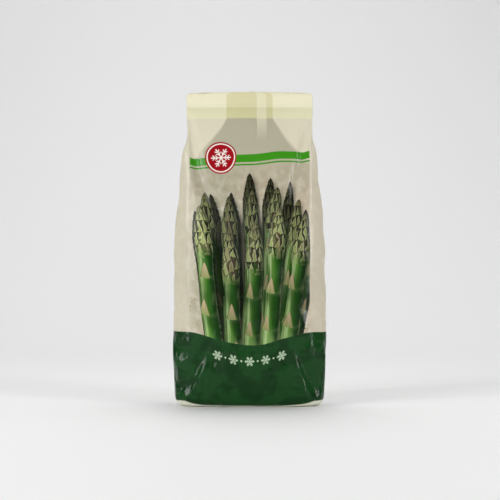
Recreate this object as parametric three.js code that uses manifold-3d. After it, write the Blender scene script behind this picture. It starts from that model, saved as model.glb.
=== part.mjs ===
// A sealed, side-gusseted plastic film bag that stands upright, with loose frozen asparagus spears
// inside. Millimetres, +Z up. The origin is the centre of the base and the front panel faces -Y.
import * as THREE from "three";
import { mergeVertices } from "three/addons/utils/BufferGeometryUtils.js";
import Module from "manifold-3d";

// Driving dimensions of the bag
const bagHeight = 282;
const panelWidth = 115; // flat width of the front panel and of the back panel
const gussetHalf = 36; // flat width of each half of a side gusset, folded inwards at the seals
const bodyDepth = 60; // front to back, at the belly
const sealHeight = 14; // the flat band fused across the top
const filmWall = 0.8; // stands for a film of about 0.06 mm
const baseRadius = 9; // the rounded edge between the walls and the base
const baseRingShare = 0.86; // the base rests on a flat ring, outside this share of its outline
const baseRecess = 1.2; // how far the middle of the base is lifted clear of the surface
const floorTop = 2.4; // the inside of the base

// The lengthwise seam that closes the film tube, a fin folded flat against the back
const seamRoot = 6.5;
const seamWidth = 8.5;
const seamThickness = 0.8;
// The cross seam under the base, folded flat
const baseSeam = { width: 92, depth: 10, bottom: 0.2, top: 1.6 };
// One pinhole that lets air out when bags are stacked, in the back of the shoulder
const vent = { x: -16, z: 236, radius: 0.9, length: 20 };

// Driving dimensions of the spears
const spearLength = { shortest: 156, longest: 172 };
const spearRadius = { thinnest: 5.5, thickest: 6.5 };
const spearPitch = { x: 17.5, y: 16 };
const outerColumn = { x: 51, y: 10 };
const spearClearance = 0.3;
const spearSides = 10;
const spearSeed = 41;

const sealBottom = bagHeight - sealHeight;
const halfPanel = panelWidth / 2;
const halfDepth = bodyDepth / 2;
const foldedCrease = halfPanel - gussetHalf;
const gussetLayers = 1.2; // half thickness of the top band over the folded gussets
const panelLayers = 0.8; // half thickness of the top band between them

// Cross-sections of the filled bag, from the base up: z, the panel's edge, the belly's depth, the
// gusset's inner crease and how far each half of the gusset balloons out beyond a straight line.
const stations = [
  { z: 0, edgeX: 54, edgeY: 23.5, bellyY: 28, creaseX: 61, bulge: 11 },
  { z: 50, edgeX: 55, edgeY: 24.5, bellyY: halfDepth, creaseX: 61, bulge: 14 },
  { z: 110, edgeX: 55, edgeY: 24, bellyY: halfDepth, creaseX: 60, bulge: 14.5 },
  { z: 162, edgeX: 55, edgeY: 23.5, bellyY: 29, creaseX: 58, bulge: 14.5 },
  { z: 199, edgeX: 55.5, edgeY: 22, bellyY: 26.5, creaseX: 54, bulge: 12.5 },
  { z: 226, edgeX: 56.5, edgeY: 18.5, bellyY: 21.5, creaseX: 45, bulge: 13 },
  { z: 244, edgeX: 57, edgeY: 13, bellyY: 14.5, creaseX: 31, bulge: 13 },
  { z: 256, edgeX: halfPanel, edgeY: 7, bellyY: 7.5, creaseX: 23, bulge: 5 },
  { z: 263, edgeX: halfPanel, edgeY: 3.2, bellyY: 3.2, creaseX: 23, bulge: 0.5 },
  { z: sealBottom, edgeX: halfPanel, edgeY: gussetLayers, bellyY: panelLayers, creaseX: halfPanel, bulge: 0 },
  { z: bagHeight, edgeX: halfPanel, edgeY: gussetLayers, bellyY: panelLayers, creaseX: halfPanel, bulge: 0 },
];
const bellyPower = 2.4; // the crown of the front and back panels
const wallHeights = [
  0, 1, 3, 6, 9, 18, 34, 52, 72, 94, 116, 138, 158, 174, 188, 199, 209, 218, 226, 233, 239, 244, 249,
  253, 257, 260, 263, 266, sealBottom, bagHeight,
];
const cavityHeights = [
  floorTop, 4, 6, 9, 18, 38, 66, 94, 122, 148, 170, 188, 202, 214, 224, 233, 240, 246, 251, 255, 258,
];
// Where a panel is sampled from its middle to its edge, and a gusset from its edge to its crease
const panelShares = [0, 0.13, 0.26, 0.365, 0.385, 0.51, 0.63, 0.74, 0.84, 0.93, 1];
const gussetSteps = 7;

const wasm = await Module();
wasm.setup();

// A smooth curve through the stations: cubic Hermite spans with slopes from the neighbours.
function sectionAt(z) {
  const next = Math.min(Math.max(stations.findIndex((s) => s.z > z), 1), stations.length - 1);
  const upper = z >= bagHeight ? stations.length - 1 : next;
  const [a, b] = [stations[upper - 1], stations[upper]];
  const before = stations[Math.max(upper - 2, 0)];
  const after = stations[Math.min(upper + 1, stations.length - 1)];
  const t = (z - a.z) / (b.z - a.z);
  const section = { z };
  for (const key of ["edgeX", "edgeY", "bellyY", "creaseX", "bulge"]) {
    const run = b.z - a.z;
    const rise = (b[key] - a[key]) / run;
    const slope = (p, q) => (q.z === p.z ? rise : (q[key] - p[key]) / (q.z - p.z));
    const [enter, leave] = [slope(before, a), slope(b, after)].map((outer) =>
      outer * rise <= 0 ? 0 : (2 * outer * rise) / (outer + rise),
    );
    section[key] =
      a[key] * (1 + 2 * t) * (1 - t) ** 2 +
      enter * run * t * (1 - t) ** 2 +
      b[key] * t * t * (3 - 2 * t) +
      leave * run * t * t * (t - 1);
  }
  if (z < baseRadius) {
    const inset = baseRadius - Math.sqrt(baseRadius ** 2 - (baseRadius - z) ** 2);
    section.edgeX -= inset;
    section.edgeY -= inset;
    section.bellyY -= inset;
    section.creaseX -= inset * 0.6;
  }
  return section;
}

// The half thickness of a panel at x: crowned over the belly, stepped over the folded gussets in the seal
function panelDepth(section, x) {
  const crown = section.edgeY + (section.bellyY - section.edgeY) * (1 - (x / section.edgeX) ** bellyPower);
  const stepped = x > foldedCrease ? gussetLayers : panelLayers;
  return THREE.MathUtils.lerp(crown, stepped, THREE.MathUtils.smoothstep(section.z, 263, sealBottom));
}

// A quarter of a cross-section, from the middle of the front to the gusset's crease, moved inwards by
// inset. The gusset is a cubic curve from the panel's edge to the crease.
function quarterRing(z, inset) {
  const s = sectionAt(z);
  const edge = new THREE.Vector2(s.edgeX, -s.edgeY);
  const crease = new THREE.Vector2(s.creaseX, 0);
  const balloon = new THREE.Vector2(s.bulge, 0);
  const handle = (share) => edge.clone().lerp(crease, share).add(balloon);
  const gusset = new THREE.CubicBezierCurve(edge, handle(1 / 3), handle(2 / 3), crease);
  if (inset) {
    const alongPanel = new THREE.Vector2(-1, (-(s.bellyY - s.edgeY) * bellyPower) / s.edgeX).normalize();
    const alongGusset = gusset.getTangent(0);
    const opening = Math.abs(alongPanel.cross(alongGusset));
    const inward = (share) => {
      const along = gusset.getTangent(share);
      return new THREE.Vector2(-along.y, along.x).multiplyScalar(inset);
    };
    gusset.v0 = edge.clone().add(alongPanel.add(alongGusset).multiplyScalar(inset / opening));
    gusset.v1.add(inward(1 / 3));
    gusset.v2.add(inward(2 / 3));
    gusset.v3.x -= inset / Math.abs(gusset.getTangent(1).y);
  }
  const corner = gusset.v0;
  const panel = panelShares.map((share) => {
    const x = corner.x * share;
    return new THREE.Vector2(x, share < 1 ? -(panelDepth(s, x) - inset) : corner.y);
  });
  return [...panel, ...gusset.getPoints(gussetSteps).slice(1)];
}

// A whole cross-section, anticlockwise from above
function ring(z, inset = 0, share = 1, height = z) {
  const quarter = quarterRing(z, inset);
  const back = [...quarter].reverse();
  const turns = [
    quarter.map((p) => [p.x, p.y]),
    back.map((p) => [p.x, -p.y]),
    quarter.map((p) => [-p.x, -p.y]),
    back.map((p) => [-p.x, p.y]),
  ];
  return turns.flatMap((points) =>
    points.slice(0, -1).map(([x, y]) => new THREE.Vector3(x * share, y * share, height)),
  );
}

// A closed skin over a stack of rings with the same number of points, closed by a fan at each end
function loft(rings, first, last) {
  const count = rings[0].length;
  const points = [first, ...rings.flat(), last];
  const index = [];
  for (let i = 0; i < count; i++) {
    const j = (i + 1) % count;
    index.push(0, 1 + j, 1 + i);
    for (let k = 0; k < rings.length - 1; k++) {
      const [low, high] = [1 + k * count, 1 + (k + 1) * count];
      index.push(low + i, low + j, high + j, low + i, high + j, high + i);
    }
    const top = 1 + (rings.length - 1) * count;
    index.push(top + i, top + j, points.length - 1);
  }
  return new THREE.BufferGeometry().setFromPoints(points).setIndex(index);
}

function solidFrom(geometry) {
  const bare = geometry.clone().deleteAttribute("normal").deleteAttribute("uv");
  const merged = mergeVertices(bare, 1e-3);
  const vertProperties = merged.attributes.position.array;
  const triVerts = new Uint32Array(merged.index.array);
  return new wasm.Manifold(new wasm.Mesh({ numProp: 3, vertProperties, triVerts }));
}

function geometryFrom(solid) {
  const mesh = solid.getMesh();
  const positions = new THREE.BufferAttribute(new Float32Array(mesh.vertProperties), 3);
  const geometry = new THREE.BufferGeometry().setAttribute("position", positions);
  geometry.setIndex(new THREE.BufferAttribute(new Uint32Array(mesh.triVerts), 1));
  geometry.computeVertexNormals();
  return geometry;
}

// The outside of the film, from the middle of the base to the top edge
function filmOutside() {
  const base = [ring(0, 0, baseRingShare - 0.05, baseRecess), ring(0, 0, baseRingShare)];
  const rings = [...base, ...wallHeights.map((z) => ring(z))];
  return loft(rings, new THREE.Vector3(0, 0, baseRecess), new THREE.Vector3(0, 0, bagHeight));
}

function filmInside() {
  const rings = cavityHeights.map((z) => ring(z, filmWall));
  const [low, high] = [cavityHeights[0], cavityHeights.at(-1)];
  return loft(rings, new THREE.Vector3(0, 0, low), new THREE.Vector3(0, 0, high));
}

// The back seam: a strip that follows the back panel from the base's edge to the top
function backSeam() {
  const sunk = 0.4;
  const rings = wallHeights
    .filter((z) => z >= baseRadius)
    .map((z) => {
      const depthAt = (x) => panelDepth(sectionAt(z), x);
      const [near, far] = [seamRoot, seamRoot + seamWidth];
      return [
        new THREE.Vector3(near, depthAt(near) - sunk, z),
        new THREE.Vector3(far, depthAt(far) - sunk, z),
        new THREE.Vector3(far, depthAt(far) + seamThickness, z),
        new THREE.Vector3(near, depthAt(near) + seamThickness, z),
      ];
    });
  const middle = (points) =>
    points.reduce((sum, p) => sum.add(p), new THREE.Vector3()).divideScalar(points.length);
  return loft(rings, middle(rings[0]), middle(rings.at(-1)));
}

function filmBag() {
  const seamSize = [baseSeam.width, baseSeam.depth, baseSeam.top - baseSeam.bottom];
  const crossSeam = new THREE.BoxGeometry(...seamSize);
  crossSeam.translate(0, baseSeam.depth / 2, (baseSeam.top + baseSeam.bottom) / 2);
  const pinhole = new THREE.CylinderGeometry(vent.radius, vent.radius, vent.length, 8);
  pinhole.translate(vent.x, sectionAt(vent.z).bellyY, vent.z);
  return solidFrom(filmOutside())
    .subtract(solidFrom(filmInside()))
    .add(solidFrom(backSeam()))
    .add(solidFrom(crossSeam))
    .subtract(solidFrom(pinhole));
}

// Repeatable draws between 0 and 1
function seededRandom(seed) {
  let state = seed;
  return () => {
    state = (state * 1664525 + 1013904223) % 4294967296;
    return state / 4294967296;
  };
}

// A spear's radius from its cut butt (0) to its tip (1), as a share of the stalk's radius
const spearOutline = [
  { at: 0, share: 0.94 },
  { at: 0.012, share: 1 },
  { at: 0.15, share: 1 },
  { at: 0.19, share: 0.99 },
  { at: 0.33, share: 0.98 },
  { at: 0.37, share: 0.97 },
  { at: 0.51, share: 0.95 },
  { at: 0.55, share: 0.94 },
  { at: 0.66, share: 0.93 },
  { at: 0.72, share: 0.97 },
  { at: 0.78, share: 1 },
  { at: 0.84, share: 0.93 },
  { at: 0.9, share: 0.76 },
  { at: 0.95, share: 0.5 },
  { at: 0.985, share: 0.22 },
];
const bractRings = [2, 4, 6, 8]; // a pointed scale starts at each of these rings and ends at the next
const budRing = 9; // from here up, small scales cover the spear all round
const bractRise = 0.7;
const budRise = 0.55;

// One asparagus spear: a tapered stalk with pointed scales up its side and a bud of overlapping scales
function spearGeometryOf({ length, radius, bow, turn, draw }) {
  const bractSides = bractRings.map(() => Math.floor(draw() * spearSides));
  const rings = spearOutline.map(({ at, share }, k) => {
    const bract = bractRings.indexOf(k) >= 0 ? bractRings.indexOf(k) : bractRings.indexOf(k - 1);
    return Array.from({ length: spearSides }, (_, i) => {
      let rise = 0;
      if (k >= budRing) {
        rise = (i + k) % 2 ? budRise * share : -budRise * 0.4;
      } else if (bract >= 0) {
        const apart = Math.abs(((i - bractSides[bract] + spearSides * 1.5) % spearSides) - spearSides / 2);
        const startsHere = bractRings[bract] === k;
        rise = apart === 0 ? bractRise : apart === 1 && startsHere ? bractRise / 2 : 0;
      }
      const angle = (i / spearSides) * Math.PI * 2 + turn;
      const r = radius * share + rise;
      const lean = bow * Math.sin(Math.PI * at);
      return new THREE.Vector3(r * Math.cos(angle) + lean, r * Math.sin(angle), at * length);
    });
  });
  return loft(rings, new THREE.Vector3(0, 0, 0), new THREE.Vector3(0, 0, length));
}

// Where each spear stands: three rows of five, and a pair at each side
function spearPlaces() {
  const places = [];
  for (const column of [-2, -1, 0, 1, 2]) {
    for (const row of [-1, 0, 1]) places.push([column * spearPitch.x, row * spearPitch.y]);
  }
  for (const side of [-1, 1]) {
    for (const row of [-1, 1]) places.push([side * outerColumn.x, row * outerColumn.y]);
  }
  return places;
}

const bag = new THREE.Group();

const filmMaterial = new THREE.MeshStandardMaterial({ color: 0xd9d2c2, roughness: 0.3, metalness: 0 });
const film = new THREE.Mesh(geometryFrom(filmBag()), filmMaterial);
film.name = "film_bag";
bag.add(film);

const spearMaterial = new THREE.MeshStandardMaterial({ color: 0x5d8a3a, roughness: 0.6, metalness: 0 });
const draw = seededRandom(spearSeed);
const between = (low, high) => low + (high - low) * draw();
spearPlaces().forEach(([x, y], n) => {
  const geometry = spearGeometryOf({
    length: between(spearLength.shortest, spearLength.longest),
    radius: between(spearRadius.thinnest, spearRadius.thickest),
    bow: between(-0.6, 0.6),
    turn: between(0, Math.PI),
    draw,
  });
  const spear = new THREE.Mesh(geometryFrom(solidFrom(geometry)), spearMaterial);
  spear.name = `spear_${String(n + 1).padStart(2, "0")}`;
  spear.position.set(x, y, floorTop + spearClearance);
  spear.rotation.set(between(-0.004, 0.004), between(-0.004, 0.004), 0);
  bag.add(spear);
});

export default bag;
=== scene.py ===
import math

import bmesh
import bpy
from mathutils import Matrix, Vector, noise


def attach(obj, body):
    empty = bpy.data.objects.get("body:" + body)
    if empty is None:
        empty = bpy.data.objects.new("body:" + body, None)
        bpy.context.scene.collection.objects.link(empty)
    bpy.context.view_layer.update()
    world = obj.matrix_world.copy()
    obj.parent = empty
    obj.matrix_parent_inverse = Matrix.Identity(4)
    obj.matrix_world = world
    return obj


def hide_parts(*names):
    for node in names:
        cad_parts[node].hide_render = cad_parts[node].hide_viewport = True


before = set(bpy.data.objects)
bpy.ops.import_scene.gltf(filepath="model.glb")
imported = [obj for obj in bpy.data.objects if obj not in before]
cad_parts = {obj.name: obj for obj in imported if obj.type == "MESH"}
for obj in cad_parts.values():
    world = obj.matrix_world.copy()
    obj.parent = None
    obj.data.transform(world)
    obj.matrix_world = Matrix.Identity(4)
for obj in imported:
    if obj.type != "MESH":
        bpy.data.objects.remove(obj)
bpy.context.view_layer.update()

collection = bpy.context.scene.collection
noise.seed_set(7)  # without it the noise vectors differ each run

# A printed film bag with folded side gussets, standing upright, with frozen asparagus inside.
# Lengths are metres. The front faces -Y and the base's centre is the origin.

film = {
    "panel": 0.115,  # flat width of the front, and of the back
    "gusset": 0.036,  # flat width of each half of a side gusset
    "sealFrom": 0.268,
    "top": 0.282,
    "baseRadius": 0.009,
    "baseReach": 0.019,  # from the rounded edge to the seam under the base
    "baseNarrowing": 0.05,  # shares by which the base runs in to that seam
    "baseClosing": 0.985,
    "baseRise": 0.0011,
    "fullness": 2.4,  # the power of the belly's curve across a panel
    "bellyAt": 0.05,  # the height at which the film's way round is measured
    "cornerTo": 0.03,  # below this height the film keeps the shape of the base's corners
    "panelColumns": 52,
    "gussetColumns": 15,
    "rowSpacing": 0.0023,
    "baseRows": 8,
    "cornerRows": [0.0008, 0.0022, 0.0042, 0.0066, 0.009],
    "sealRows": 4,
    "unevenness": 0.0009,  # how uneven the film is before it settles
    "lumps": 0.0011,  # how far the spears inside press the panels out
    "spareHeight": 0.0065,  # the film is this much longer than the bag is tall
    "spareWidth": 1.004,
    "frames": 34,
    "pressure": 22.0,
    "mass": 0.006,
    "tension": 40.0,
    "bending": 0.12,
    "furthest": 0.009,  # how far the film may move from where it starts
    "bow": 0.0011,  # how far the flat top is from straight, and its finer wave
    "ripple": 0.0009,
}

# z, the panel edge's x and y, the belly's y, the gusset fold's x and how far the gusset balloons
filmSections = [
    (0.000, 0.0540, 0.0235, 0.0280, 0.0610, 0.0110),
    (0.050, 0.0550, 0.0245, 0.0300, 0.0610, 0.0140),
    (0.110, 0.0550, 0.0240, 0.0300, 0.0600, 0.0145),
    (0.162, 0.0550, 0.0235, 0.0290, 0.0580, 0.0145),
    (0.199, 0.0555, 0.0220, 0.0265, 0.0540, 0.0125),
    (0.226, 0.0565, 0.0185, 0.0215, 0.0450, 0.0130),
    (0.244, 0.0570, 0.0130, 0.0145, 0.0310, 0.0110),
    (0.256, 0.0573, 0.0070, 0.0075, 0.0235, 0.0040),
    (0.268, 0.0575, 0.0006, 0.0005, 0.0215, 0.0000),
    (0.282, 0.0575, 0.0006, 0.0005, 0.0215, 0.0000),
]


def ramp(value, start, end):
    # 0 up to start and 1 from end on, straight between them
    return min(max((value - start) / (end - start), 0), 1)


def blendRows(rows, z):
    # a smooth curve through the rows, with slopes taken from their neighbours
    above = next((n for n, row in enumerate(rows) if row[0] > z), len(rows) - 1)
    above = max(above, 1)
    a, b = rows[above - 1], rows[above]
    before, after = rows[max(above - 2, 0)], rows[min(above + 1, len(rows) - 1)]
    run = b[0] - a[0]
    t = (z - a[0]) / run
    values = []
    for k in range(1, len(a)):
        rise = (b[k] - a[k]) / run
        enter = (a[k] - before[k]) / (a[0] - before[0]) if before is not a else rise
        leave = (after[k] - b[k]) / (after[0] - b[0]) if after is not b else rise
        enter = 0 if enter * rise <= 0 else 2 * enter * rise / (enter + rise)
        leave = 0 if leave * rise <= 0 else 2 * leave * rise / (leave + rise)
        values.append(
            a[k] * (1 + 2 * t) * (1 - t) ** 2 + enter * run * t * (1 - t) ** 2
            + b[k] * t * t * (3 - 2 * t) + leave * run * t * t * (t - 1)
        )
    return values


def filmPoint(across, z):
    # where a point of the flat film stands in the filled bag
    edgeX, edgeY, bellyY, foldX, bulge = blendRows(filmSections, max(z, 0))
    if z < film["baseRadius"]:
        radius = film["baseRadius"]
        inset = radius - math.sqrt(radius**2 - (radius - max(z, 0)) ** 2)
        edgeX, edgeY, bellyY, foldX = edgeX - inset, edgeY - inset, bellyY - inset, foldX - inset * 0.6
    halfPanel, quarter = film["panel"] / 2, film["panel"] / 2 + film["gusset"]
    along = abs(across)
    back = along > quarter
    if back:
        along = max(2 * quarter - along, 0)
    if along <= halfPanel:
        share = along / halfPanel
        x = edgeX * share
        y = edgeY + (bellyY - edgeY) * (1 - share ** film["fullness"])
    else:
        t = (along - halfPanel) / film["gusset"]
        x = edgeX + (foldX - edgeX) * t + 3 * bulge * t * (1 - t)
        y = edgeY * (1 - t)
    height = max(z, 0)
    if z < 0:  # under the base the film runs in to the cross seam
        share = min(-z / film["baseReach"], 1)
        x *= 1 - film["baseNarrowing"] * share
        y *= 1 - film["baseClosing"] * share
        height = film["baseRise"] * math.sin(math.pi / 2 * share)
    return Vector((math.copysign(x, across), y if back else -y, height))


def filmFlatPoint(across, z, around):
    # the same point on the film before it is filled: an upright tube of the film's own width
    place = filmPoint(across, min(z, film["bellyAt"]))
    straight = Vector((place.x * around, place.y * around, z))
    straight.z += film["spareHeight"] * ramp(z, 0.04, film["sealFrom"])
    share = ramp(z - film["baseRadius"], 0, film["cornerTo"])
    return filmPoint(across, z).lerp(straight, share)


def evenSteps(start, end, steps):
    return [start + (end - start) * n / steps for n in range(steps + 1)]


def filmColumns():
    halfPanel, quarter = film["panel"] / 2, film["panel"] / 2 + film["gusset"]
    halfSteps, foldSteps = film["panelColumns"] // 2, film["gussetColumns"]
    right = evenSteps(0, halfPanel, halfSteps)
    right += evenSteps(halfPanel, quarter, foldSteps)[1:]
    right += evenSteps(quarter, quarter + film["gusset"], foldSteps)[1:]
    right += evenSteps(quarter + film["gusset"], 2 * quarter, halfSteps)[1:]
    return [-x for x in reversed(right[1:])] + right


def filmRows():
    base = evenSteps(-film["baseReach"], 0, film["baseRows"])
    wallFrom, wallTo = film["baseRadius"], film["sealFrom"]
    wall = evenSteps(wallFrom, wallTo, round((wallTo - wallFrom) / film["rowSpacing"]))[1:]
    return base + film["cornerRows"] + wall + evenSteps(wallTo, film["top"], film["sealRows"])[1:]


def newObject(name, bm):
    mesh = bpy.data.meshes.new(name)
    bm.to_mesh(mesh)
    bm.free()
    piece = bpy.data.objects.new(name, mesh)
    collection.objects.link(piece)
    mesh.shade_smooth()
    return piece


def makeFilmTube(name):
    # a grid of points rolled round, whose last column is the first one again. The points, faces and
    # corners keep one order, because the film settles differently in any other
    columns, rows = filmColumns(), filmRows()
    count = len(columns) - 1
    points, faces, corners = [], [], []
    for up in rows:
        for across in columns[:-1]:
            place = filmPoint(across, up)
            loose = ramp(up, 0, film["cornerTo"]) * ramp(film["sealFrom"] - up, 0, 0.02)
            points.append(place + noise.noise_vector(place * 45) * film["unevenness"] * loose)
    for row, (lowZ, highZ) in enumerate(zip(rows, rows[1:])):
        low, high = row * count, (row + 1) * count
        for column, (left, right) in enumerate(zip(columns, columns[1:])):
            beside = (column + 1) % count
            faces.append((low + column, low + beside, high + beside, high + column))
            corners += [(left, lowZ), (right, lowZ), (right, highZ), (left, highZ)]
    mesh = bpy.data.meshes.new(name)
    mesh.from_pydata(points, [], faces)
    layer = mesh.uv_layers.new(name="film")
    for item, corner in zip(layer.uv, corners):
        item.vector = corner
    mesh.shade_smooth()
    tube = bpy.data.objects.new(name, mesh)
    collection.objects.link(tube)
    return tube


def flatPlaces(tube):
    # each vertex's place on the flat film, read back from the map
    places = [None] * len(tube.data.vertices)
    uv = tube.data.uv_layers["film"].uv
    for loop in tube.data.loops:
        places[loop.vertex_index] = tuple(uv[loop.index].vector)
    return places


def filmRound(z):
    points = [filmPoint(across, z) for across in filmColumns()]
    return sum((b - a).length for a, b in zip(points, points[1:]))


def settleFilm(tube):
    # the film is a little larger than the shape it fills, so pressure folds and dimples it
    places = flatPlaces(tube)
    flatWidth = 2 * film["panel"] + 4 * film["gusset"]
    belly = filmRound(film["bellyAt"])
    around = flatWidth * film["spareWidth"] / belly
    print("film round the belly", round(belly, 4), "cut width", flatWidth, "ratio", round(around, 4))
    tube.shape_key_add(name="filled")
    flat = tube.shape_key_add(name="flat")
    held = tube.vertex_groups.new(name="held")
    for n, (across, up) in enumerate(places):
        flat.data[n].co = filmFlatPoint(across, up, around)
        if up > film["sealFrom"] - 0.0001 or up < 0.0001:
            held.add([n], 1.0, "REPLACE")
        elif up < 0.008:
            held.add([n], 0.6, "REPLACE")
    cloth = tube.modifiers.new("film", "CLOTH")
    settings = cloth.settings
    settings.rest_shape_key = flat
    settings.vertex_group_mass = "held"
    settings.quality = 8
    settings.mass = film["mass"]
    settings.tension_stiffness = film["tension"]
    settings.compression_stiffness = film["tension"]
    settings.shear_stiffness = film["tension"] * 0.6
    settings.bending_stiffness = film["bending"]
    settings.tension_damping = settings.compression_damping = settings.shear_damping = 8
    settings.bending_damping = 0.5
    settings.air_damping = 2.0
    settings.use_pressure = True
    settings.uniform_pressure_force = film["pressure"]
    settings.effector_weights.gravity = 0
    cloth.collision_settings.use_collision = False
    scene = bpy.context.scene
    cloth.point_cache.frame_start, cloth.point_cache.frame_end = 1, film["frames"]
    for n in range(1, film["frames"] + 1):
        scene.frame_set(n)
    settled = tube.evaluated_get(bpy.context.evaluated_depsgraph_get())
    points = [v.co.copy() for v in settled.data.vertices]
    scene.frame_set(1)
    tube.modifiers.remove(cloth)
    tube.shape_key_clear()
    for vert, point in zip(tube.data.vertices, points):
        step = point - vert.co
        if step.length > film["furthest"]:
            step *= film["furthest"] / step.length
        vert.co += step
    tube.data.update()
    moved = max((a.co - filmPoint(*b)).length for a, b in zip(tube.data.vertices, places))
    print("film settled, furthest move", round(moved, 4))


def pressOut(tube):
    # the spears inside show as long low lumps in the front and the back
    places = flatPlaces(tube)
    halfRound = film["panel"] + 2 * film["gusset"]
    normals = [v.normal.copy() for v in tube.data.vertices]
    for vert, normal, (across, up) in zip(tube.data.vertices, normals, places):
        fromMiddle = min(abs(across), halfRound - abs(across))
        within = ramp(0.056 - fromMiddle, 0, 0.015) * ramp(up - 0.004, 0, 0.02) * ramp(0.2 - up, 0, 0.05)
        long = noise.noise(Vector((vert.co.x * 62, vert.co.y * 20, up * 9)))
        short = noise.noise(Vector((vert.co.x * 95, vert.co.y * 30, up * 38 + 7)))
        vert.co += normal * (long * 0.75 + short * 0.4) * film["lumps"] * within
    tube.data.update()


def bowSeal(piece):
    # the flat top isn't quite straight
    for vert in piece.data.vertices:
        share = ramp(vert.co.z - 0.245, 0, 0.03)
        x = vert.co.x
        vert.co.y += share * (film["bow"] * math.sin(x * 42 + 0.6) + film["ripple"] * math.sin(x * 97))
    piece.data.update()


def makeFilmBag():
    bag = makeFilmTube("film")
    settleFilm(bag)
    pressOut(bag)
    bowSeal(bag)
    bm = bmesh.new()
    bm.from_mesh(bag.data)
    bmesh.ops.holes_fill(bm, edges=[e for e in bm.edges if e.is_boundary], sides=0)
    bmesh.ops.recalc_face_normals(bm, faces=bm.faces)
    bm.to_mesh(bag.data)
    bm.free()
    smooth = bag.modifiers.new("smooth", "SUBSURF")
    smooth.levels = smooth.render_levels = 1
    return bag


# the lengthwise seam down the back, a fin folded flat, and the cross seam folded flat under the base
seams = {
    "finFrom": 0.0058,
    "finTo": 0.0146,
    "finBottom": 0.012,
    "finTop": 0.2815,
    "lift": 0.00035,
    "wave": 0.0007,  # how much further the fin's free edge stands off
    "finThickness": 0.00022,
    "baseSize": (0.092, 0.010),
    "baseHeight": 0.0009,
    "baseWave": 0.00035,
    "baseThickness": 0.0005,
}


def makeBackFin(bag):
    # the fin is a strip of the back panel, lifted off it
    bm = bmesh.new()
    bm.from_mesh(bag.data)
    uvLayer = bm.loops.layers.uv["film"]
    halfRound = film["panel"] + 2 * film["gusset"]
    spare = []
    for face in bm.faces:
        centre = sum((loop[uvLayer].uv for loop in face.loops), Vector((0, 0))) / len(face.loops)
        beside = seams["finFrom"] < halfRound - centre.x < seams["finTo"]
        if not (beside and seams["finBottom"] < centre.y < seams["finTop"]) or len(face.verts) > 4:
            spare.append(face)
    bmesh.ops.delete(bm, geom=spare, context="FACES")
    bm.normal_update()
    for vert, normal in [(v, v.normal.copy()) for v in bm.verts]:
        free = ramp(vert.co.x - seams["finFrom"], 0, 0.008)
        wave = 0.5 + 0.5 * noise.noise(Vector((3, 1, vert.co.z * 60)))
        vert.co += normal * (seams["lift"] + free * wave * seams["wave"])
    bmesh.ops.solidify(bm, geom=bm.faces, thickness=-seams["finThickness"])
    bmesh.ops.recalc_face_normals(bm, faces=bm.faces)
    fin = newObject("back_fin", bm)
    smooth = fin.modifiers.new("smooth", "SUBSURF")
    smooth.levels = smooth.render_levels = 1
    return fin


def makeBaseFin():
    width, depth = seams["baseSize"]
    bm = bmesh.new()
    uvLayer = bm.loops.layers.uv.new("film")
    bmesh.ops.create_grid(bm, x_segments=46, y_segments=5, size=0.5)
    bmesh.ops.scale(bm, verts=bm.verts, vec=(width, depth, 1))
    bmesh.ops.translate(bm, verts=bm.verts, vec=(0, depth / 2, seams["baseHeight"]))
    for vert in bm.verts:
        vert.co.z -= seams["baseWave"] * (0.5 + noise.noise(vert.co * 120)) * vert.co.y / depth
    for face in bm.faces:
        for loop in face.loops:
            loop[uvLayer].uv = (loop.vert.co.x, -0.01 - loop.vert.co.y)
    bmesh.ops.solidify(bm, geom=bm.faces, thickness=seams["baseThickness"])
    bmesh.ops.recalc_face_normals(bm, faces=bm.faces)
    return newObject("base_fin", bm)


bag = makeFilmBag()
filmPieces = [bag, makeBackFin(bag), makeBaseFin()]
for piece in filmPieces:
    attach(piece, "root")
    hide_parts("film_bag")
print("film bag made", [len(piece.data.polygons) for piece in filmPieces])


# Small helpers for materials. A Wire is a number in a node tree, so node maths reads as a formula.


def newMaterial(name):
    material = bpy.data.materials.new(name)
    material.use_nodes = True
    tree = material.node_tree
    return material, tree, tree.nodes["Principled BSDF"]


def feed(tree, socket, value):
    if isinstance(value, Wire):
        value = value.socket
    if isinstance(value, bpy.types.NodeSocket):
        tree.links.new(value, socket)
    else:
        socket.default_value = value


class Wire:
    def __init__(self, tree, socket):
        self.tree, self.socket = tree, socket

    def maths(self, operation, *values, clamp=False):
        node = self.tree.nodes.new("ShaderNodeMath")
        node.operation, node.use_clamp = operation, clamp
        for socket, value in zip(node.inputs, values):
            feed(self.tree, socket, value)
        return Wire(self.tree, node.outputs[0])

    def __add__(self, other):
        return self.maths("ADD", self, other)

    def __sub__(self, other):
        return self.maths("SUBTRACT", self, other)

    def __rsub__(self, other):
        return self.maths("SUBTRACT", other, self)

    def __mul__(self, other):
        return self.maths("MULTIPLY", self, other)

    def __truediv__(self, other):
        return self.maths("DIVIDE", self, other)

    __radd__, __rmul__ = __add__, __mul__

    def __abs__(self):
        return self.maths("ABSOLUTE", self)

    def floor(self):
        return self.maths("FLOOR", self)

    def sine(self):
        return self.maths("SINE", self)

    def sign(self):
        return self.maths("SIGN", self)

    def atLeast(self, other):
        return self.maths("MAXIMUM", self, other)

    def atMost(self, other):
        return self.maths("MINIMUM", self, other)

    def power(self, other):
        return self.maths("POWER", self, other)

    def clipped(self):
        return self.maths("ADD", self, 0, clamp=True)

    def rising(self, start, end):
        # 0 below start and 1 above end, straight between them
        return ((self - start) / (end - start)).clipped()

    def between(self, low, high, soft):
        return self.rising(low - soft, low) * (1 - self.rising(high, high + soft))


def addNode(tree, kind, inputs=None, **settings):
    node = tree.nodes.new(kind)
    for key, value in settings.items():
        setattr(node, key, value)
    for key, value in (inputs or {}).items():
        feed(tree, node.inputs[key], value)
    return node


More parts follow.
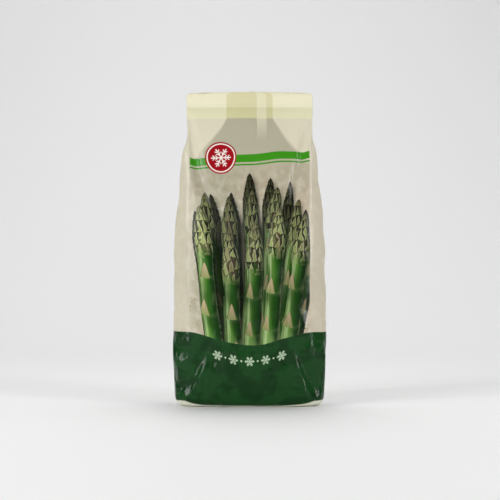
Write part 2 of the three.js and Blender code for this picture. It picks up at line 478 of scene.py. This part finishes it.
def newGroup(name, inputs, outputs):
    tree = bpy.data.node_groups.new(name, "ShaderNodeTree")
    for label in inputs:
        tree.interface.new_socket(label, in_out="INPUT", socket_type="NodeSocketFloat")
    for label, kind in outputs.items():
        tree.interface.new_socket(label, in_out="OUTPUT", socket_type=kind)
    into, out = tree.nodes.new("NodeGroupInput"), tree.nodes.new("NodeGroupOutput")
    return tree, [Wire(tree, into.outputs[label]) for label in inputs], out


def useGroup(tree, group, inputs):
    return addNode(tree, "ShaderNodeGroup", inputs, node_tree=group)


def tone(code):
    # a colour as it is picked on screen, in the linear values that nodes take
    parts = [int(code[n : n + 2], 16) / 255 for n in (1, 3, 5)]
    return tuple(p / 12.92 if p <= 0.04045 else ((p + 0.055) / 1.055) ** 2.4 for p in parts) + (1.0,)


def mixColors(tree, share, below, above, blend="MIX"):
    node = tree.nodes.new("ShaderNodeMix")
    node.data_type, node.blend_type = "RGBA", blend
    feed(tree, node.inputs[0], share)
    feed(tree, node.inputs[6], below)
    feed(tree, node.inputs[7], above)
    return node.outputs[2]


def overlay(tree, color, layers):
    # lays each tone in turn over the colour, by its share
    for share, code in layers:
        color = mixColors(tree, share, color, tone(code))
    return color


def colorRamp(tree, share, stops):
    node = tree.nodes.new("ShaderNodeValToRGB")
    feed(tree, node.inputs[0], share)
    elements = node.color_ramp.elements
    while len(elements) < len(stops):
        elements.new(0.5)
    for element, (position, code) in zip(elements, stops):
        element.position, element.color = position, tone(code)
    return node.outputs[0]


def drawsOf(tree, seed):
    # three repeatable draws between 0 and 1 from one number
    draws = addNode(tree, "ShaderNodeTexWhiteNoise", {"W": seed}, noise_dimensions="1D")
    parts = addNode(tree, "ShaderNodeSeparateColor", {"Color": draws.outputs["Color"]})
    return [Wire(tree, socket) for socket in parts.outputs]


def solidNoise(tree, vector, scale, detail):
    inputs = {"Vector": vector.outputs[0], "Scale": scale, "Detail": detail}
    return Wire(tree, addNode(tree, "ShaderNodeTexNoise", inputs).outputs["Fac"])


def flatNoise(tree, across, up, scale, detail, stretch, seed):
    spot = addNode(tree, "ShaderNodeCombineXYZ", {"X": across, "Y": up * stretch, "Z": seed})
    return solidNoise(tree, spot, scale, detail)


# One pictured stalk, in millimetres of the print
drawnStalk = {
    "rootAt": 60.0,  # the stalks fan out upward from this height
    "outermost": 44.0,  # how far from the middle they grow
    "sag": 0.012,  # how fast the tips get lower outward
    "outlineLength": 80.0,
    "outline": [  # share of that length below the tip, and of the half width there
        (0, 0.0), (0.03, 0.24), (0.1, 0.5), (0.22, 0.8),
        (0.36, 1.0), (0.5, 0.98), (0.66, 0.86), (1, 0.88),
    ],
    "headTo": 46.0,
    "bractSpacing": 33.0,
    "stalkTones": [  # from the lit side to the shaded one
        (0, "#142709"), (0.09, "#4a6e2e"), (0.2, "#aac188"), (0.34, "#628f3d"),
        (0.52, "#35661f"), (0.76, "#173a10"), (1, "#081405"),
    ],
    "scaleTones": [  # from a scale's middle, over its pale edge, to the dark gap
        (0, "#b3b97e"), (0.2, "#7a8d41"), (0.36, "#d0cea6"), (0.42, "#6a663c"),
        (0.46, "#070a04"), (0.64, "#0f1d09"), (1, "#3f5a24"),
    ],
}

stalkInputs = (
    "Pitch", "Offset", "Lean", "Fan", "Tip", "Rise", "Scatter", "Half Width", "Seed", "Shade",
)


def stalkOutline(tree, below):
    # a pointed head over a straight stalk
    curve = addNode(tree, "ShaderNodeFloatCurve", {"Value": below / drawnStalk["outlineLength"]})
    points = curve.mapping.curves[0].points
    while len(points) < len(drawnStalk["outline"]):
        points.new(0.5, 0.5)
    for point, spot in zip(points, drawnStalk["outline"]):
        point.location = spot
    curve.mapping.update()
    return Wire(tree, curve.outputs[0])


def stalkColor(tree, side, fibres, bloom, joint):
    # rounded shading, long fibres and paler and deeper stretches
    lit = (side * 0.5 + 0.5 + (fibres - 0.5) * 0.34).clipped()
    return overlay(tree, colorRamp(tree, lit, drawnStalk["stalkTones"]), [
        (bloom.rising(0.5, 0.72) * 0.45, "#a3bd78"),
        ((1 - bloom.rising(0.34, 0.5)) * 0.7, "#15390f"),
        (joint * 0.05, "#b3c48a"),
    ])


def bractColor(tree, lower, fibres, reach):
    # a pale tip that turns green downward, with a dark edge
    color = mixColors(tree, lower.rising(0.25, 0.58), tone("#c6ae8e"), tone("#8d9c5d"))
    return overlay(tree, color, [
        ((fibres - 0.3).clipped(), "#6f5a45"),
        (reach.rising(0.7, 0.95) * 0.8, "#33401f"),
    ])


def headColor(tree, side, local, up, below, cell):
    # rows of overlapping scales, each set off by half from the row above
    warp = flatNoise(tree, local, up, 0.15, 1.0, 1.0, cell + 3) - 0.5
    wrap = side * (1 + side * side * 0.3) * 1.3 + warp * 1.1
    rowSpot = below / (5.6 + below * 0.085) + warp * 1.2
    row = rowSpot.floor()
    fromTip = rowSpot - row
    column = wrap + row * 0.5
    fromMiddle = abs(column - column.floor() - 0.5) * 2
    edge = fromMiddle - fromTip.power(0.62) * 1.02
    ageing, paling, _ = drawsOf(tree, row * 7.3 + column.floor() * 3.7 + cell)
    return overlay(tree, colorRamp(tree, edge * 0.5 + 0.5, drawnStalk["scaleTones"]), [
        (ageing.rising(0.6, 1) * 0.6, "#654c42"),
        (paling.rising(0.45, 1) * 0.45, "#aeb37c"),
        ((side + 0.05).rising(0.3, 1.0) * 0.8, "#101d0b"),
        ((0 - side).rising(0.7, 1.0) * 0.6, "#20340f"),
        ((1 - below.rising(2, 14)) * 0.4, "#4c3b2c"),
    ])


def stalkGroup():
    # a fan of drawn stalks: each has its own height, width and shade
    tree, given, out = newGroup(
        "drawn stalks",
        ("Across", "Up") + stalkInputs,
        {"Color": "NodeSocketColor", "Mask": "NodeSocketFloat", "Shadow": "NodeSocketFloat"},
    )
    across, up, pitch, offset, lean, widening, tipAt, rise, scatter, width, seed, shade = given
    aboveRoot = up - drawnStalk["rootAt"]
    fan = 1 + widening * aboveRoot
    spot = (across - lean * aboveRoot) / fan / pitch + offset
    cell = spot.floor()
    middle = (cell + 0.5 - offset) * pitch
    first, second, third = drawsOf(tree, cell * 1.37 + seed)
    sway = (up * 0.028 + first * 6.3).sine() * 0.8
    local = (spot - cell - 0.5) * pitch * fan + (second - 0.5) * pitch * 0.1 + sway
    tip = tipAt + rise * middle - middle * middle * drawnStalk["sag"]
    below = tip + (first - 0.5) * scatter - up
    outermost, headTo = drawnStalk["outermost"], drawnStalk["headTo"]
    present = below.rising(0, 0.3) * (1 - abs(middle).rising(outermost, outermost + 0.1))
    roundness = local / width
    bractSpot = (below + roundness * roundness * 3) / drawnStalk["bractSpacing"] + third
    step = bractSpot.floor()
    lower = bractSpot - step
    # the width, a little more at each joint, with a ragged edge along the head
    joint = lower.between(0.57, 0.59, 0.07) * below.rising(40, headTo)
    ragged = flatNoise(tree, local.sign() * 40, up, 0.35, 1.0, 1.0, cell) - 0.5
    headShare = 1 - (below + ragged * 16).rising(headTo - 10, headTo)
    halfWidth = width * (0.88 + third * 0.2) * stalkOutline(tree, below)
    halfWidth = halfWidth * (1 + joint * 0.03) + ragged * headShare * 1.6
    side = local / halfWidth.atLeast(0.05)
    mask = ((halfWidth - abs(local)) * 3).rising(0, 1) * present
    shadow = (1 - (abs(local - 1.4) - halfWidth).rising(-1.5, 2.2)) * present * below.rising(0, 8)
    fibres = flatNoise(tree, local * 2.2, up, 0.6, 2.0, 0.06, cell)
    bloom = flatNoise(tree, local, up, 0.08, 1.0, 0.35, cell + 7)
    # pointed bracts up the stalk
    turned, size, _ = drawsOf(tree, step * 3.1 + cell * 5.7 + seed)
    flare = (lower - 0.16).atLeast(0).power(0.75) * (0.8 + size * 0.6)
    reach = abs(side - (turned - 0.5) * 1.5) / flare.atLeast(0.001)
    bract = (1 - reach.rising(0.9, 1.0)) * lower.between(0.17, 0.57, 0.015) * below.rising(42, headTo)
    color = stalkColor(tree, side, fibres, bloom, joint)
    color = mixColors(tree, bract, color, bractColor(tree, lower, fibres, reach))
    color = mixColors(tree, headShare, color, headColor(tree, side, local, up, below, cell))
    rim = abs(side).rising(0.84, 0.97) * (fibres + ragged * 0.5).rising(0.4, 0.7)
    color = mixColors(tree, rim * 0.3, color, tone("#b4c69c"))
    dim = shade * (0.82 + second * 0.34)
    darker = addNode(tree, "ShaderNodeCombineColor", {"Red": dim * 0.98, "Green": dim, "Blue": dim * 0.96})
    feed(tree, out.inputs["Color"], mixColors(tree, 1.0, color, darker.outputs[0], "MULTIPLY"))
    feed(tree, out.inputs["Mask"], mask)
    feed(tree, out.inputs["Shadow"], shadow)
    return tree


def starGroup():
    # a six-armed frost star with two twigs on each arm
    labels = ("Across", "Up", "Size", "Line")
    tree, (x, y, size, line), out = newGroup("frost star", labels, {"Mask": "NodeSocketFloat"})
    reach = (x * x + y * y).power(0.5)
    armAngle = math.pi / 3
    turns = x.maths("ARCTAN2", y, x) / armAngle + 0.5
    turned = abs(turns - turns.floor() - 0.5) * armAngle
    along, off = reach * turned.maths("COSINE", turned), reach * turned.sine()
    star = (1 - off.rising(line * 0.7, line * 1.3)) * (1 - reach.rising(size * 0.96, size))
    for share in (0.36, 0.62):
        slope = abs(along - size * share - off * 0.75)
        twig = (1 - slope.rising(line * 0.8, line * 1.4)) * (1 - off.rising(size * 0.22, size * 0.25))
        star = star.atLeast(twig)
    feed(tree, out.inputs["Mask"], star)
    return tree


def dentGroup():
    # dents with soft creases between them, as thin film has where something lies behind it
    labels = ("Across", "Up", "Size", "Seed")
    tree, (x, z, size, seed), out = newGroup("film dents", labels, {"Height": "NodeSocketFloat"})
    bendX = flatNoise(tree, x, z, 0.05, 2.0, 1.0, seed) - 0.5
    bendZ = flatNoise(tree, x, z, 0.05, 2.0, 1.0, seed + 5) - 0.5
    spot = addNode(tree, "ShaderNodeCombineXYZ", {
        "X": (x + bendX * 26) / size,
        "Y": (z + bendZ * 26) / (size * 1.5),
        "Z": seed,
    })
    inputs = {"Vector": spot.outputs[0], "Scale": 1.0, "Smoothness": 0.25}
    cells = addNode(tree, "ShaderNodeTexVoronoi", inputs, feature="SMOOTH_F1")
    feed(tree, out.inputs["Height"], cells.outputs["Distance"])
    return tree


# The print, in millimetres across the film from the front's middle and up from the base
filmPrint = {
    "halfRound": 187.0,  # from the front's middle to the back's
    "ground": "#b1ac96",
    "groundWarm": "#bfae97",
    "groundPale": "#ccc6b2",
    "groundTop": "#d3ccb6",
    "clearFrom": 257.0,
    "clearTint": "#d9d6b4",
    "sealFrom": 267.4,
    "sealTint": "#e0dbbf",
    "seamShow": (6.8, 14.8),  # where the back seam shows through the clear top
    "bandGreen": "#143f18",
    "bandReflectionDark": "#05280a",
    "bandTop": 56.0,
    "bandDip": 11.0,
    "bandCorner": 61.0,  # how far out the dip ends
    "starPitch": 15.0,
    "starBelow": 14.5,  # from the top of the foot to the row of stars
    "stripeGreen": "#3a8a1a",
    "stripeAt": 222.0,
    "stripeWave": 3.0,
    "emblemRed": "#960e1a",
    "emblemPale": "#e8dcd6",
    "emblemAt": (-26.0, 222.0),
    "emblemRadius": 14.5,
    "panelAt": (-28.0, 148.0),
    "panelSize": (20.0, 46.0),
    "panelCorner": 3.0,
    "ventAt": (-16.0, 236.0),
    "stalkRows": [  # from the furthest row to the nearest, as in stalkInputs
        (13.0, 0.20, -0.04, 0.0030, 202.0, 0.05, 22.0, 6.6, 3.0, 0.13),
        (14.5, 0.65, 0.05, 0.0042, 197.0, 0.10, 22.0, 7.6, 11.0, 0.48),
        (17.0, 0.40, 0.01, 0.0040, 176.0, 0.22, 48.0, 8.7, 23.0, 0.86),
    ],
}


class Sheet:
    # where a shaded point lies on the flat film
    def __init__(self, tree):
        uv = addNode(tree, "ShaderNodeUVMap", uv_map="film")
        parts = addNode(tree, "ShaderNodeSeparateXYZ", {"Vector": uv.outputs[0]})
        self.tree = tree
        self.across = Wire(tree, parts.outputs["X"]) * 1000
        self.up = Wire(tree, parts.outputs["Y"]) * 1000
        self.aside = abs(self.across)
        self.front = 1 - self.aside.rising(55.5, 56.5)
        self.backX = (filmPrint["halfRound"] - self.aside) * self.across.sign()
        ventX, ventZ = filmPrint["ventAt"]
        fromX, fromZ = self.backX - ventX, self.up - ventZ
        self.fromVent = (fromX * fromX + fromZ * fromZ).power(0.5) + self.front * 50
        self.cloud = self.mottle(0.018, 2.0, 0.7, 4.0)

    def mottle(self, scale, detail, stretch, seed):
        return flatNoise(self.tree, self.across, self.up, scale, detail, stretch, seed)


def groundColor(sheet):
    # softly mottled, as an out-of-focus picture is, with brown stains low down at the sides
    up, aside = sheet.up, sheet.aside
    patch = sheet.mottle(0.035, 1.0, 0.6, 9.0)
    grain = sheet.mottle(0.45, 4.0, 1.0, 14.0)
    fleck = sheet.mottle(0.16, 3.0, 0.8, 31.0)
    stains = grain.rising(0.5, 0.62) * sheet.mottle(0.05, 1.0, 1.0, 17.0).rising(0.48, 0.6)
    stains = stains * (1 - up.rising(100, 165)) * aside.rising(30, 42) * sheet.front
    return overlay(sheet.tree, tone(filmPrint["ground"]), [
        ((sheet.cloud + sheet.across * 0.0025).rising(0.38, 0.62), filmPrint["groundWarm"]),
        (patch.rising(0.5, 0.72) * 0.7, filmPrint["groundPale"]),
        (fleck.rising(0.42, 0.7) * 0.4, "#938b74"),
        ((1 - fleck.rising(0.32, 0.5)) * 0.35, "#d6d2c2"),
        (stains * 0.8, "#83704a"),
        (up.rising(196, 230), filmPrint["groundTop"]),
        (aside.rising(50, 60) * 0.7, filmPrint["groundPale"]),
    ])


def topColor(sheet, color):
    # the clear top: pale yellow-green, with a painted shade that is deeper where fewer layers lie behind
    # the front, and a painted rim light at the upper edges of the front
    up, aside, front = sheet.up, sheet.aside, sheet.front
    clearFrom, sealFrom = filmPrint["clearFrom"], filmPrint["sealFrom"]
    clear = up.rising(clearFrom, clearFrom + 1)
    color = overlay(sheet.tree, color, [
        (clear, filmPrint["clearTint"]),
        (up.rising(sealFrom, sealFrom + 1), filmPrint["sealTint"]),
    ])
    drop = (clearFrom - up).atLeast(0)
    fold = 20.8 + drop * 0.55 + drop * drop * 0.0085
    blur = 0.6 + drop * 0.08
    # a bell of painted shade, where the gussets open behind the front
    paintedBellShade = ((fold - aside) / blur).rising(-1, 1) * up.rising(170, 232) * front
    shade = mixColors(sheet.tree, clear, tone("#cfd1cc"), tone("#eeeddb"))
    color = mixColors(sheet.tree, paintedBellShade, color, shade, "MULTIPLY")
    rimLight = aside.rising(55.8, 57) * up.rising(244, 252) * front
    seam = sheet.across.between(*filmPrint["seamShow"], 0.6) * up.rising(238, 262) * front
    return overlay(sheet.tree, color, [(rimLight * 0.8, "#e9eda9"), (seam * 0.6, "#e2dec4")])


def stalkRowsColor(sheet, color):
    # it is dark between the stalks low down, where more of them stand behind
    tree, up, front = sheet.tree, sheet.up, sheet.front
    fromMiddle = sheet.aside / (1 + (up - drawnStalk["rootAt"]) * 0.0025)
    height = up + sheet.cloud * 30 + fromMiddle * 1.3
    depth = (1 - fromMiddle.rising(32, 41)) * (1 - height.rising(182, 198)) * front
    color = overlay(tree, color, [(depth * 0.9, "#0b1507")])
    group = stalkGroup()
    for values in filmPrint["stalkRows"]:
        row = useGroup(tree, group, {"Across": sheet.across, "Up": up, **dict(zip(stalkInputs, values))})
        shadow, mask = [Wire(tree, row.outputs[label]) * front for label in ("Shadow", "Mask")]
        color = overlay(tree, color, [(shadow * 0.6, "#0a1207")])
        color = mixColors(tree, mask, color, row.outputs["Color"])
    return color


def footColor(sheet, color, star):
    # the green foot of the print, which dips in the middle of the front, with dark patches painted in as
    # the reflections of crinkled film
    tree, across, up = sheet.tree, sheet.across, sheet.up
    outward = abs(across / filmPrint["bandCorner"]).atMost(1)
    bow = filmPrint["bandTop"] + filmPrint["bandDip"] * outward * outward * (3 - outward * 2)
    # painted reflection: dark dapples as a crinkled film shows them
    reflectionDapples = sheet.mottle(0.05, 2.5, 1.4, 12.0).rising(0.48, 0.57)
    foot = mixColors(tree, reflectionDapples * 0.6, tone(filmPrint["bandGreen"]), tone(filmPrint["bandReflectionDark"]))
    color = mixColors(tree, 1 - (up - bow).rising(-0.2, 0.2), color, foot)
    # the print stops short of the base, most of all at the corners
    corner = outward.power(8) * 3.6
    margin = 1 - (up - corner - sheet.cloud * 3.6).rising(-0.5, 0.5)
    # a row of frost stars with dots between them
    bead = across / filmPrint["starPitch"]
    starX = (bead - (bead + 0.5).floor()) * filmPrint["starPitch"]
    dotX = abs(bead - bead.floor() - 0.5) * filmPrint["starPitch"]
    beadZ = up - bow + filmPrint["starBelow"]
    mask = useGroup(tree, star, {"Across": starX, "Up": beadZ, "Size": 4.6, "Line": 0.32}).outputs["Mask"]
    dot = 1 - (dotX * dotX + beadZ * beadZ).rising(0.5, 0.9)
    beads = dot.atLeast(mask) * (1 - sheet.aside.rising(36, 36.5))
    return overlay(tree, color, [(margin, "#dedfcd"), (beads, "#b4c9ab")])


def stripeColor(sheet, color):
    # two plain stripes across the front
    fromStripe = sheet.up - (filmPrint["stripeAt"] + (sheet.across * 0.03).sine() * filmPrint["stripeWave"])
    stripes = fromStripe.between(-3.6, 3.2, 0.15).atLeast(fromStripe.between(-6.6, -5.4, 0.15))
    return overlay(sheet.tree, color, [(stripes * sheet.front, filmPrint["stripeGreen"])])


def emblemColor(sheet, color, star):
    # a round emblem with a thin ring and a frost star
    emblemX, emblemZ = filmPrint["emblemAt"]
    radius = filmPrint["emblemRadius"]
    fromX, fromZ = sheet.across - emblemX, sheet.up - emblemZ
    distance = (fromX * fromX + fromZ * fromZ).power(0.5)
    ring = distance.between(radius - 2.1, radius - 1.2, 0.2)
    inputs = {"Across": fromX, "Up": fromZ, "Size": radius * 0.66, "Line": 0.55}
    mask = useGroup(sheet.tree, star, inputs).outputs["Mask"]
    return overlay(sheet.tree, color, [
        (1 - distance.rising(radius, radius + 0.3), filmPrint["emblemRed"]),
        (ring.atLeast(mask), filmPrint["emblemPale"]),
    ])


def backColor(sheet, color):
    # a bare pale panel, a dark mark on the seam's edge and the pinhole that lets air out, painted dark as
    # the shade inside it
    (panelX, panelZ), (halfX, halfZ) = filmPrint["panelAt"], filmPrint["panelSize"]
    rounding, back = filmPrint["panelCorner"], 1 - sheet.front
    beyondX = (abs(sheet.backX - panelX) - halfX + rounding).atLeast(0)
    beyondZ = (abs(sheet.up - panelZ) - halfZ + rounding).atLeast(0)
    outside = (beyondX * beyondX + beyondZ * beyondZ).power(0.5) - rounding
    mark = sheet.across.between(174.5, 180.5, 0.1) * sheet.up.between(78, 90, 0.1)
    return overlay(sheet.tree, color, [
        ((1 - outside.rising(0, 0.3)) * back, "#d8d3c0"),
        (outside.between(-0.6, 0, 0.2) * back, "#4f7a3a"),
        (mark, "#12361a"),
        # the pinhole: painted shade, as the unlit inside of the bag
        (1 - sheet.fromVent.rising(0.75, 0.95), "#14140f"),
    ])


def filmHeight(sheet):
    # dents: most of them low down, over the ends of the spears, and few where the film is taut
    tree, across, up = sheet.tree, sheet.across, sheet.up
    group = dentGroup()
    dents = [
        useGroup(tree, group, {"Across": across, "Up": up, "Size": size, "Seed": seed})
        for size, seed in ((21.0, 2.0), (9.0, 6.0))
    ]
    large, small = [Wire(tree, node.outputs["Height"]) for node in dents]
    where = sheet.mottle(0.03, 1.0, 1.0, 3.0).rising(0.32, 0.55)
    slack = 0.25 + sheet.aside.rising(58, 76) * 0.6 + (1 - up.rising(40, 90)) * 0.75
    amount = slack * (0.3 + where * 0.7) * (1 - up.rising(250, 262))
    pleats = sheet.mottle(0.13, 1.0, 0.14, 21.0) * up.between(226, 256, 10) * 0.22
    ribs = ((up * 3.1).sine() * 0.5 + 0.5) * up.between(268.6, 280.5, 0.3) * 0.035
    ventRim = sheet.fromVent.between(0.9, 1.4, 0.4) * 0.1
    return (large + small * 0.3) * amount + pleats + ribs + ventRim


def bumpFrom(tree, shader, height, distance):
    bump = addNode(tree, "ShaderNodeBump", {"Strength": 1.0, "Distance": distance, "Height": height})
    feed(tree, shader.inputs["Normal"], bump.outputs[0])


def makeFilmMaterial():
    material, tree, shader = newMaterial("printed film")
    sheet, star = Sheet(tree), starGroup()
    color = topColor(sheet, groundColor(sheet))
    color = stalkRowsColor(sheet, color)
    color = footColor(sheet, color, star)
    color = stripeColor(sheet, color)
    color = emblemColor(sheet, color, star)
    color = backColor(sheet, color)
    feed(tree, shader.inputs["Base Color"], color)
    shader.inputs["Specular IOR Level"].default_value = 0.16
    feed(tree, shader.inputs["Roughness"], 0.06 + sheet.mottle(0.06, 3.0, 1.0, 2.0) * 0.17)
    bumpFrom(tree, shader, filmHeight(sheet), 0.0026)
    return material


spear = {
    "budFrom": (112, 132),  # the stalk turns into the bud between these heights, in millimetres
    "buttTo": (4, 26),
    "stalkTones": [(0.25, "#2f5a1e"), (0.5, "#5b8a38"), (0.75, "#8fae5e")],
    "budTones": [(0.1, "#7f8a4c"), (0.5, "#4c6630"), (0.85, "#3a2f33")],
    "butt": "#b9bd93",
    "frost": "#dfe6e2",
}


def makeSpearMaterial():
    # the frozen spears inside: fibres up the stalk, a pale butt, a darker bud and specks of frost
    material, tree, shader = newMaterial("asparagus")
    coordinates = addNode(tree, "ShaderNodeTexCoord")
    parts = addNode(tree, "ShaderNodeSeparateXYZ", {"Vector": coordinates.outputs["Object"]})
    x, y, up = [Wire(tree, socket) * 1000 for socket in parts.outputs]
    whole = addNode(tree, "ShaderNodeCombineXYZ", {"X": x, "Y": y, "Z": up})
    long = addNode(tree, "ShaderNodeCombineXYZ", {"X": x, "Y": y, "Z": up * 0.07})
    fibres = solidNoise(tree, long, 1.6, 3.0)
    patch = solidNoise(tree, whole, 0.05, 2.0)
    specks = solidNoise(tree, whole, 1.1, 5.0).rising(0.56, 0.68)
    cells = addNode(tree, "ShaderNodeTexVoronoi", {"Vector": whole.outputs[0], "Scale": 0.28})
    scales = Wire(tree, cells.outputs["Distance"])
    budShare = up.rising(*spear["budFrom"])
    stalk = colorRamp(tree, (fibres + patch - 0.5).clipped(), spear["stalkTones"])
    bud = colorRamp(tree, scales, spear["budTones"])
    color = overlay(tree, mixColors(tree, budShare, stalk, bud), [
        (1 - up.rising(*spear["buttTo"]), spear["butt"]),
        (specks * 0.6, spear["frost"]),
    ])
    feed(tree, shader.inputs["Base Color"], color)
    feed(tree, shader.inputs["Roughness"], 0.42 + specks * 0.35)
    bumpFrom(tree, shader, fibres * 0.4 + scales * budShare + specks * 0.3, 0.0009)
    return material


filmMaterial = makeFilmMaterial()
for piece in filmPieces:
    piece.data.materials.append(filmMaterial)
spearMaterial = makeSpearMaterial()
for name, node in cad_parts.items():
    if name.startswith("spear"):
        for materialSlot in node.material_slots:
            materialSlot.material = spearMaterial
print("materials made")

# The stage: a pale sweep, a camera at the height of the bag's middle and soft studio light
stage = {
    "floor": (0.92, 0.92, 0.92),
    "floorSize": 1.6,
    "floorShift": 0.2,  # backward
    "sweepHeight": 3,
    "sweepRadius": 1.2,
    "distance": 1.3,  # from the camera to the bag's middle
    "aside": 0.0004,
    "height": 0.1395,
    "frameWidth": 0.4505,  # what the picture spans at the bag's middle
    "sensor": 36,
    "ambient": 0.18,
    "backdrop": (0.9, 0.9, 0.9, 1),
    "lamps": [
        # name, place, the point it is aimed at, size and watts
        ("left", (-1.25, -1.15, 0.6), (0, 0, 0.13), (0.7, 0.9), 12),
        ("left strip", (-1.1, -0.7, 0.45), (0, 0, 0.13), (0.05, 0.9), 3.5),
        ("right", (1.3, -1.0, 0.5), (0, 0, 0.13), (0.5, 0.9), 7),
        ("right strip", (1.1, -0.8, 0.4), (0, 0, 0.13), (0.04, 0.9), 3),
        ("front", (-0.15, -2.5, 0.62), (0, 0, 0.14), (1.5, 0.85), 4.4),
        ("above", (0.1, 0.45, 1.7), (0, 0.25, 0.1), (1.6, 1.0), 15.5),
    ],
}


def makeSweep():
    # a floor whose far edge is lifted, with a wide bend between
    bm = bmesh.new()
    bmesh.ops.create_grid(bm, x_segments=1, y_segments=1, size=stage["floorSize"])
    far = [e for e in bm.edges if all(v.co.y > 1 for v in e.verts)]
    lifted = bmesh.ops.extrude_edge_only(bm, edges=far)["geom"]
    raised = [v for v in lifted if isinstance(v, bmesh.types.BMVert)]
    bmesh.ops.translate(bm, verts=raised, vec=(0, 0, stage["sweepHeight"]))
    bmesh.ops.translate(bm, verts=bm.verts, vec=(0, stage["floorShift"], 0))
    bend = [e for e in bm.edges if len(e.link_faces) == 2]
    radius = stage["sweepRadius"]
    bmesh.ops.bevel(bm, geom=bend, offset=radius, segments=24, profile=0.5, affect="EDGES", material=-1)
    floor = newObject("floor", bm)
    material, _, shader = newMaterial("floor")
    shader.inputs["Base Color"].default_value = (*stage["floor"], 1)
    shader.inputs["Roughness"].default_value = 0.7
    floor.data.materials.append(material)
    return floor


def areaLight(name, place, aim, size, power):
    light = bpy.data.lights.new(name, "AREA")
    light.shape = "RECTANGLE"
    light.size, light.size_y = size
    light.energy = power
    lamp = bpy.data.objects.new(name, light)
    lamp.location = place
    lamp.rotation_euler = (Vector(aim) - Vector(place)).to_track_quat("-Z", "Y").to_euler()
    collection.objects.link(lamp)


def makeStudio():
    # soft light all round, and a paler backdrop where the camera sees past the floor
    world = bpy.data.worlds.new("studio")
    bpy.context.scene.world = world
    world.use_nodes = True
    tree = world.node_tree
    ambient = tree.nodes["Background"]
    ambient.inputs["Color"].default_value = (1, 1, 1, 1)
    ambient.inputs["Strength"].default_value = stage["ambient"]
    backdrop = addNode(tree, "ShaderNodeBackground", {"Color": stage["backdrop"], "Strength": 1.0})
    seen = addNode(tree, "ShaderNodeLightPath").outputs["Is Camera Ray"]
    both = addNode(tree, "ShaderNodeMixShader", {0: seen, 1: ambient.outputs[0], 2: backdrop.outputs[0]})
    tree.links.new(both.outputs[0], tree.nodes["World Output"].inputs["Surface"])


def makeCamera():
    data = bpy.data.cameras.new("camera")
    data.sensor_width = stage["sensor"]
    data.lens = stage["sensor"] * stage["distance"] / stage["frameWidth"]
    data.clip_start, data.clip_end = 0.05, 20
    camera = bpy.data.objects.new("camera", data)
    camera.location = (stage["aside"], -stage["distance"], stage["height"])
    camera.rotation_euler = (math.pi / 2, 0, 0)
    collection.objects.link(camera)
    bpy.context.scene.camera = camera


makeSweep()
for lamp in stage["lamps"]:
    areaLight(*lamp)
makeStudio()
makeCamera()
bpy.context.scene.view_settings.view_transform = "Standard"
print("stage made")
